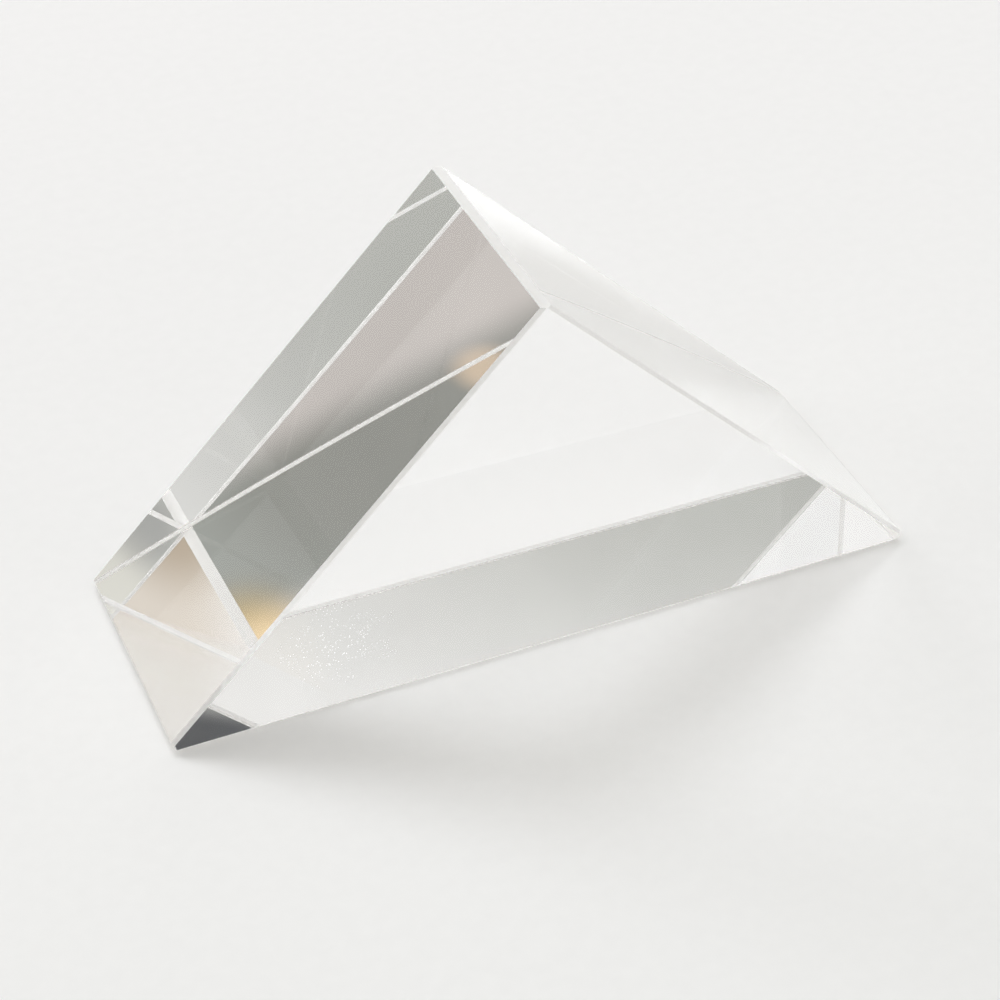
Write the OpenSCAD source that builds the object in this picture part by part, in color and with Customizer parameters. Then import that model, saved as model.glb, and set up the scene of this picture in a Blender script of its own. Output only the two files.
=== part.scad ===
// Right angle prism: one block of clear optical glass with a 45-90-45
// triangle for its section. All five faces are ground flat and polished, and
// every edge is blunted by a narrow ground flat so that it doesn't chip.
// X runs along the long face of the triangle, Y through the block from one
// triangular end to the other, and Z up. The long face lies on Z = 0, with
// the origin at its centre.

/* [Block] */
// Width of each of the two faces that meet at the right angle, to the sharp edges
leg = 50; // [20:0.5:120]
// Distance between the two triangular ends
depth = 23.8; // [8:0.2:120]

/* [Edge flats] */
// Width of the flat along the right angle edge
right_edge_flat = 0.95; // [0.2:0.05:3]
// Width of the flat along each of the two 45 degree edges
sharp_edge_flat = 1.1; // [0.2:0.05:3]
// Width of the flats round both triangular ends
end_edge_flat = 0.42; // [0.1:0.02:2]

/* [Hidden] */

// Angle between the long face and each leg face
base_angle = 45;
// The sharp triangle: half its long side, its height, and the radius of the
// circle that touches all three sides
half_base = leg * cos(base_angle);
height = leg * sin(base_angle);
touching_radius = leg - half_base;

// How far each flat cuts back along the two faces that it lies between
right_edge_cut = right_edge_flat / sqrt(2);
sharp_edge_cut = sharp_edge_flat / (2 * sin(base_angle / 2));

// Turn about Y that brings the top of the touching circle to each long face
face_turns = [180, base_angle, -base_angle];
// Side of the square bar that takes off an end edge, wider than its flat
bar_side = 2 * end_edge_flat;

// Section of the block: the triangle with its three corners blunted
module section() {
    right_side = [
        [half_base - sharp_edge_cut, 0],
        [half_base - sharp_edge_cut * cos(base_angle), sharp_edge_cut * sin(base_angle)],
        [right_edge_cut * cos(base_angle), height - right_edge_cut * sin(base_angle)],
    ];
    left_side = [for (i = [len(right_side) - 1:-1:0]) [-right_side[i].x, right_side[i].y]];
    polygon(concat(right_side, left_side));
}

// Bar laid along an edge where a top face and the front end meet, turned so
// that its underside is the flat
module end_edge_bar() {
    rotate([45, 0, 0])
        translate([0, 0, (bar_side - end_edge_flat) / 2])
            cube([2 * half_base, bar_side, bar_side], center = true);
}

// The bars for the three edges of the front end
module front_end_bars() {
    for (turn = face_turns)
        translate([0, 0, touching_radius])
            rotate([0, turn, 0])
                translate([0, -depth / 2, touching_radius])
                    end_edge_bar();
}

module prism() {
    color([0.90, 0.92, 0.91])
        difference() {
            rotate([90, 0, 0])
                linear_extrude(height = depth, center = true)
                    section();
            front_end_bars();
            mirror([0, 1, 0]) front_end_bars();
        }
}

prism();
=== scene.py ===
import math

import bpy
from mathutils import Matrix, Quaternion, Vector

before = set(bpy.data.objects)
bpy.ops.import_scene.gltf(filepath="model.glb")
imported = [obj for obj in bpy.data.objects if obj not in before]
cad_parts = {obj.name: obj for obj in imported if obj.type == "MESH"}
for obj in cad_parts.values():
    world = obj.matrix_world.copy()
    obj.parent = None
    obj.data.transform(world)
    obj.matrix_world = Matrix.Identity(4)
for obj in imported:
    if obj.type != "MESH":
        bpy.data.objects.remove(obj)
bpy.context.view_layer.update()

# ---------------------------------------------------------------- polished prism faces
# The prism is one solid block of clear borosilicate crown glass, sawn and ground to shape.
# Its long face, its two leg faces and its two ends are polished until nothing shows of
# them but reflections and the views bent through the block.
MM = 0.001
CROWN_GLASS_IOR = 1.5168
CLEAR_GLASS = "#FFFFFF"
POLISH_ROUGHNESS = 0.0


def linear(hex_colour):
    """The linear RGBA of an sRGB hex colour."""
    channels = [int(hex_colour[i : i + 2], 16) / 255 for i in (1, 3, 5)]
    straight = [c / 12.92 if c <= 0.04045 else ((c + 0.055) / 1.055) ** 2.4 for c in channels]
    return (*straight, 1.0)


def add_node(tree, kind, inputs=None, **settings):
    """Adds a node, sets its properties, and fills or links its inputs."""
    node = tree.nodes.new(kind)
    for name, value in settings.items():
        setattr(node, name, value)
    for name, value in (inputs or {}).items():
        if isinstance(value, bpy.types.NodeSocket):
            tree.links.new(value, node.inputs[name])
        else:
            node.inputs[name].default_value = value
    return node


def new_material(name):
    """A material with an empty node tree, and that tree."""
    material = bpy.data.materials.new(name)
    material.use_nodes = True
    material.node_tree.nodes.clear()
    return material, material.node_tree


polished_glass, tree = new_material("polished_crown_glass")
place = add_node(tree, "ShaderNodeTexCoord").outputs["Object"]

# A little dust clings low down on the front end, in a thin drift of fine specks. They are
# drawn a few times coarser than real dust, whose grains would be finer than a pixel.
DUST_ROUGHNESS = 0.45
DUST_SPACING = 0.24 * MM
DUST_GRAIN = 0.06 * MM
GRAIN_CORE = 0.6
DUST_DRIFT = 3.0 * MM
THINNEST_DRIFT = -0.5
THICKEST_DRIFT = 0.1
DUST_PLACE = Vector((-19.5, -11.9, 7.0)) * MM
DUST_REACH = Vector((7.5, 0.05, 7.0)) * MM
specks = add_node(
    tree,
    "ShaderNodeTexVoronoi",
    {"Vector": place, "Scale": 1 / DUST_SPACING, "Randomness": 1.0},
)
speck_edge = add_node(
    tree,
    "ShaderNodeMapRange",
    {
        "Value": specks.outputs["Distance"],
        "From Min": DUST_GRAIN / DUST_SPACING,
        "From Max": GRAIN_CORE * DUST_GRAIN / DUST_SPACING,
    },
).outputs[0]
drift = add_node(
    tree,
    "ShaderNodeTexNoise",
    {"Vector": place, "Scale": 1 / DUST_DRIFT, "Detail": 3.0},
).outputs[0]
from_middle = add_node(
    tree,
    "ShaderNodeMapping",
    {"Vector": place, "Location": DUST_PLACE, "Scale": DUST_REACH},
    vector_type="TEXTURE",
).outputs[0]
reach = add_node(
    tree, "ShaderNodeVectorMath", {0: from_middle}, operation="LENGTH"
).outputs["Value"]
drift_edge = add_node(
    tree, "ShaderNodeMath", {0: drift, 1: reach}, operation="SUBTRACT"
).outputs[0]
drift_cover = add_node(
    tree,
    "ShaderNodeMapRange",
    {"Value": drift_edge, "From Min": THINNEST_DRIFT, "From Max": THICKEST_DRIFT},
).outputs[0]
dust = add_node(
    tree, "ShaderNodeMath", {0: speck_edge, 1: drift_cover}, operation="MULTIPLY"
).outputs[0]
glass_roughness = add_node(
    tree,
    "ShaderNodeMapRange",
    {"Value": dust, "To Min": POLISH_ROUGHNESS, "To Max": DUST_ROUGHNESS},
).outputs[0]
clear_glass = add_node(
    tree,
    "ShaderNodeBsdfPrincipled",
    {
        "Base Color": linear(CLEAR_GLASS),
        "Roughness": glass_roughness,
        "IOR": CROWN_GLASS_IOR,
        "Transmission Weight": 1.0,
    },
).outputs[0]
add_node(tree, "ShaderNodeOutputMaterial", {"Surface": clear_glass})

# ---------------------------------------------------------------- ground edge flats
# Every edge is taken off with a narrow flat, so that it doesn't chip or cut the hand.
# The flats are ground with a fine loose grit and left unpolished, so they are matt and
# white: they glow with the light around them, seen from outside and through the glass.
GROUND_GLASS = "#FCFBF9"
SMOOTHER_PITS = 0.75
ROUGHER_PITS = 0.85
GROUND_CLEARNESS = 0.5

# Real pits are a few hundredths of a millimetre wide, too fine to show, so they are drawn
# coarser. A noise texture's values lie nearly all between the low and the high one.
GRIT_PITS = 0.25 * MM
NOISE_LOW, NOISE_HIGH = 0.3, 0.7

ground_glass, tree = new_material("fine_ground_crown_glass")
place = add_node(tree, "ShaderNodeTexCoord").outputs["Object"]
pits = add_node(
    tree, "ShaderNodeTexNoise", {"Vector": place, "Scale": 1 / GRIT_PITS, "Detail": 2.0}
).outputs[0]
pit_roughness = add_node(
    tree,
    "ShaderNodeMapRange",
    {
        "Value": pits,
        "From Min": NOISE_LOW,
        "From Max": NOISE_HIGH,
        "To Min": SMOOTHER_PITS,
        "To Max": ROUGHER_PITS,
    },
).outputs[0]
matt_glass = add_node(
    tree,
    "ShaderNodeBsdfPrincipled",
    {
        "Base Color": linear(GROUND_GLASS),
        "Roughness": pit_roughness,
        "IOR": CROWN_GLASS_IOR,
        "Transmission Weight": GROUND_CLEARNESS,
    },
).outputs[0]
add_node(tree, "ShaderNodeOutputMaterial", {"Surface": matt_glass})

# The five polished faces are known by the way they face, and all the others are flats.
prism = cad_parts["prism"]
prism.data.materials.clear()
prism.data.materials.append(polished_glass)
prism.data.materials.append(ground_glass)
slope = math.sqrt(0.5)
polished_ways = [
    Vector((0, 0, -1)),
    Vector((slope, 0, slope)),
    Vector((-slope, 0, slope)),
    Vector((0, 1, 0)),
    Vector((0, -1, 0)),
]
SAME_WAY = 0.99
for facet in prism.data.polygons:
    nearest = max(facet.normal.dot(way) for way in polished_ways)
    facet.material_index = 0 if nearest > SAME_WAY else 1
    facet.use_smooth = False

# ---------------------------------------------------------------- paper floor
# The prism lies with its long face on a wide sheet of smooth matt white paper. Painted light
# falloff is mixed into the paper's colour: it is painted a shade lighter towards the back, where
# the lamps stand, and darker towards the front. Nothing holds the prism: it rests on the paper with
# no more than a breath of air between.
# Painted shade: the front colour is the paper darkened where the lamps' light falls off, and the
# back colour is the paper where more light falls.
PAPER_SHADED_FRONT = "#EFEFED"
PAPER_LIT_BACK = "#F6F5F4"
SHADED_FRONT_Y = -70.0 * MM
LIT_BACK_Y = 120.0 * MM
PAPER_TOOTH = 1.5 * MM
TOOTH_HOLLOW, TOOTH_TOP = 0.985, 1.0
PAPER_HALF_SIDE = 3.0
PAPER_GAP = 0.02 * MM

# A colour Mix node shares its socket names between types, so its sockets go by number.
MIX_FACTOR, MIX_A, MIX_B, MIX_RESULT = 0, 6, 7, 2

paper, tree = new_material("matt_white_paper")
place = add_node(tree, "ShaderNodeTexCoord").outputs["Object"]
depth = add_node(tree, "ShaderNodeSeparateXYZ", {"Vector": place}).outputs["Y"]
# Painted light falloff: a blend from the darker front colour to the lighter back colour along the
# depth of the sheet.
falloff_share = add_node(
    tree,
    "ShaderNodeMapRange",
    {"Value": depth, "From Min": SHADED_FRONT_Y, "From Max": LIT_BACK_Y},
).outputs[0]
painted_falloff = add_node(
    tree,
    "ShaderNodeMix",
    {MIX_FACTOR: falloff_share, MIX_A: linear(PAPER_SHADED_FRONT), MIX_B: linear(PAPER_LIT_BACK)},
    data_type="RGBA",
).outputs[MIX_RESULT]
tooth = add_node(
    tree, "ShaderNodeTexNoise", {"Vector": place, "Scale": 1 / PAPER_TOOTH, "Detail": 3.0}
).outputs[0]
tooth_tone = add_node(
    tree,
    "ShaderNodeMapRange",
    {
        "Value": tooth,
        "From Min": NOISE_LOW,
        "From Max": NOISE_HIGH,
        "To Min": TOOTH_HOLLOW,
        "To Max": TOOTH_TOP,
    },
).outputs[0]
# The paper's real tooth, scaled by the painted light falloff.
tooth_and_painted_falloff = add_node(
    tree, "ShaderNodeVectorMath", {0: painted_falloff, "Scale": tooth_tone}, operation="SCALE"
).outputs[0]
sheet = add_node(tree, "ShaderNodeBsdfDiffuse", {"Color": tooth_and_painted_falloff}).outputs[0]
add_node(tree, "ShaderNodeOutputMaterial", {"Surface": sheet})
floor_mesh = bpy.data.meshes.new("paper_floor")
corners = [(-1, -1), (1, -1), (1, 1), (-1, 1)]
floor_mesh.from_pydata(
    [(x * PAPER_HALF_SIDE, y * PAPER_HALF_SIDE, -PAPER_GAP) for x, y in corners],
    [],
    [(0, 1, 2, 3)],
)
floor_mesh.materials.append(paper)
floor = bpy.data.objects.new("paper_floor", floor_mesh)
bpy.context.scene.collection.objects.link(floor)

# ---------------------------------------------------------------- studio surroundings
# A white cloth tent stands round the prism, with soft lamps behind it and overhead. Grey
# scrims hang in the tent, out of view: a block of clear glass shows its form only by the
# darker things that it bends into sight, and these draw the grey bands inside it.
TENT_WHITE = "#F8F7F5"
studio = bpy.data.worlds.new("studio")
bpy.context.scene.world = studio
studio.use_nodes = True
tree = studio.node_tree
tree.nodes.clear()
towards = add_node(tree, "ShaderNodeTexCoord").outputs["Generated"]


def soft_oval(bearing, height, half_width, half_height, softness, turn=0.0):
    """A mask over the surroundings, 1 inside a soft oval and 0 outside it, all in degrees.
    Bearing turns from straight behind the prism to its right, and height is above the floor."""
    bearing, height = math.radians(bearing), math.radians(height)
    out = Vector(
        (
            math.sin(bearing) * math.cos(height),
            math.cos(bearing) * math.cos(height),
            math.sin(height),
        )
    )
    across = Vector((math.cos(bearing), -math.sin(bearing), 0))
    axes = Matrix((across, across.cross(out), -out)).transposed()
    turned = axes @ Matrix.Rotation(math.radians(turn), 3, "Z")
    spans = [half_width, half_height, min(half_width, half_height)]
    from_centre = add_node(
        tree,
        "ShaderNodeMapping",
        {
            "Vector": towards,
            "Location": out,
            "Rotation": turned.to_euler(),
            "Scale": [2 * math.sin(math.radians(span) / 2) for span in spans],
        },
        vector_type="TEXTURE",
    ).outputs[0]
    distance = add_node(
        tree, "ShaderNodeVectorMath", {0: from_centre}, operation="LENGTH"
    ).outputs["Value"]
    return add_node(
        tree,
        "ShaderNodeMapRange",
        {
            "Value": distance,
            "From Min": 1 - softness,
            "From Max": 1 + softness,
            "To Min": 1.0,
            "To Max": 0.0,
        },
        interpolation_type="SMOOTHSTEP",
    ).outputs[0]


# Each scrim: bearing, height, half width, half height, softness and turn of its oval, and the
# colour of the light that it lets past. The first five were placed by a fitting script and
# rounded. The others were placed one by one, led by traced rays and by trial fits.
SCRIMS = {
    "far_end": (22.5, 16.0, 32.3, 21.7, 0.32, 47.0, "#B6B8B3"),
    "black_strip": (43.0, 6.8, 1.7, 12.9, 0.22, -25.0, "#595D65"),
    "near_bar": (158.0, 36.1, 37.0, 1.6, 0.33, 25.7, "#A8AFAA"),
    "near_card": (152.3, 31.2, 14.2, 6.4, 0.24, 33.7, "#C7C1BD"),
    "warm_shelf": (139.8, 9.2, 33.0, 1.9, 0.6, 16.3, "#E1D8CC"),
    "shelf_knot": (141.4, 10.3, 1.3, 1.1, 0.6, 0.0, "#CFC5B6"),
    "table_knot": (38.7, 9.6, 0.7, 0.6, 0.5, 0.0, "#E1E1E3"),
    "amber_rim": (165.4, 41.0, 1.5, 1.5, 0.4, 0.0, "#F2DDBC"),
    "right_front": (114.0, 30.0, 17.0, 27.0, 0.3, 0.0, "#959595"),
    "left_front": (-130.0, 30.0, 36.0, 28.0, 0.3, 0.0, "#959595"),
    "right_far": (62.0, 16.0, 14.0, 24.0, 0.3, 0.0, "#595959"),
}
# Each lamp: the same, but with its own colour, and then its strength. The last three are
# faint warm light, thrown back by things near the prism.
LAMPS = {
    "softbox": (6.0, 57.0, 14.0, 8.0, 0.3, 0.0, "#F6F9FF", 6.9),
    "back_lamp": (-24.0, 26.0, 8.0, 8.0, 0.3, 0.0, "#F6F9FF", 5.5),
    "left_lamp": (-66.0, 13.0, 10.0, 8.0, 0.3, 0.0, "#F6F9FF", 1.8),
    "table_edge": (40.0, 8.6, 1.3, 0.9, 0.6, 0.0, "#FFF7E1", 0.2),
    "warm_rim": (165.4, 41.0, 1.3, 1.3, 0.4, 0.0, "#FFCF50", 0.22),
    "warm_corner": (158.6, 35.2, 0.6, 0.4, 0.6, 0.0, "#FFD3A2", 0.37),
}

# The tent's cloth hangs in soft folds, a few degrees wide as the prism sees them.
CLOTH_FOLDS = 3.0
FOLD_SHADE, FOLD_CREST = 0.95, 1.05
folds = add_node(
    tree,
    "ShaderNodeTexNoise",
    {"Vector": towards, "Scale": math.degrees(1) / CLOTH_FOLDS, "Detail": 3.0},
).outputs[0]
fold_tone = add_node(
    tree,
    "ShaderNodeMapRange",
    {
        "Value": folds,
        "From Min": NOISE_LOW,
        "From Max": NOISE_HIGH,
        "To Min": FOLD_SHADE,
        "To Max": FOLD_CREST,
    },
).outputs[0]
light = add_node(
    tree, "ShaderNodeVectorMath", {0: linear(TENT_WHITE)[:3], "Scale": fold_tone}, operation="SCALE"
).outputs[0]
for *oval, lets_past in SCRIMS.values():
    light = add_node(
        tree,
        "ShaderNodeMix",
        {MIX_FACTOR: soft_oval(*oval), MIX_A: light, MIX_B: linear(lets_past)},
        data_type="RGBA",
        blend_type="MULTIPLY",
    ).outputs[MIX_RESULT]
for *oval, colour, strength in LAMPS.values():
    light = add_node(
        tree,
        "ShaderNodeMix",
        {
            MIX_FACTOR: soft_oval(*oval),
            MIX_A: light,
            MIX_B: [strength * channel for channel in linear(colour)],
        },
        data_type="RGBA",
        blend_type="ADD",
    ).outputs[MIX_RESULT]
sky = add_node(tree, "ShaderNodeBackground", {"Color": light, "Strength": 1.0}).outputs[0]
add_node(tree, "ShaderNodeOutputWorld", {"Surface": sky})

# Light is thrown to and fro inside the block many times. It has to pass through to the
# paper too, and Cycles' glossy filter would lose part of it on the way.
GLASS_BOUNCES = 24
ALL_BOUNCES = 32
scene = bpy.context.scene
scene.cycles.max_bounces = ALL_BOUNCES
scene.cycles.glossy_bounces = GLASS_BOUNCES
scene.cycles.transmission_bounces = GLASS_BOUNCES
scene.cycles.blur_glossy = 0.0
scene.view_settings.view_transform = "Standard"

# ---------------------------------------------------------------- camera
# The camera stands in front of the prism, to the left and above, and looks down on its front
# end. It is close, at less than five legs of the prism, so lines narrow towards the back.
CAMERA_BEARING = -21.667
CAMERA_HEIGHT = 37.984
CAMERA_ROLL = 1.699
CAMERA_DISTANCE = 235.65 * MM
CAMERA_AIM = Vector((-1.180, -3.598, 10.160)) * MM
SENSOR_WIDTH = 36.0
FOCAL_LENGTH = 97.994
NEAREST_IN_VIEW = 10 * MM
FARTHEST_IN_VIEW = 20.0

bearing, height = math.radians(CAMERA_BEARING), math.radians(CAMERA_HEIGHT)
to_camera = Vector(
    (
        math.sin(bearing) * math.cos(height),
        -math.cos(bearing) * math.cos(height),
        math.sin(height),
    )
)
camera_data = bpy.data.cameras.new("camera")
camera_data.sensor_width = SENSOR_WIDTH
camera_data.lens = FOCAL_LENGTH
camera_data.clip_start = NEAREST_IN_VIEW
camera_data.clip_end = FARTHEST_IN_VIEW
camera = bpy.data.objects.new("camera", camera_data)
camera.location = CAMERA_AIM + to_camera * CAMERA_DISTANCE
camera.rotation_mode = "QUATERNION"
level = (-to_camera).to_track_quat("-Z", "Y")
camera.rotation_quaternion = level @ Quaternion((0, 0, 1), -math.radians(CAMERA_ROLL))
scene.collection.objects.link(camera)
scene.camera = camera
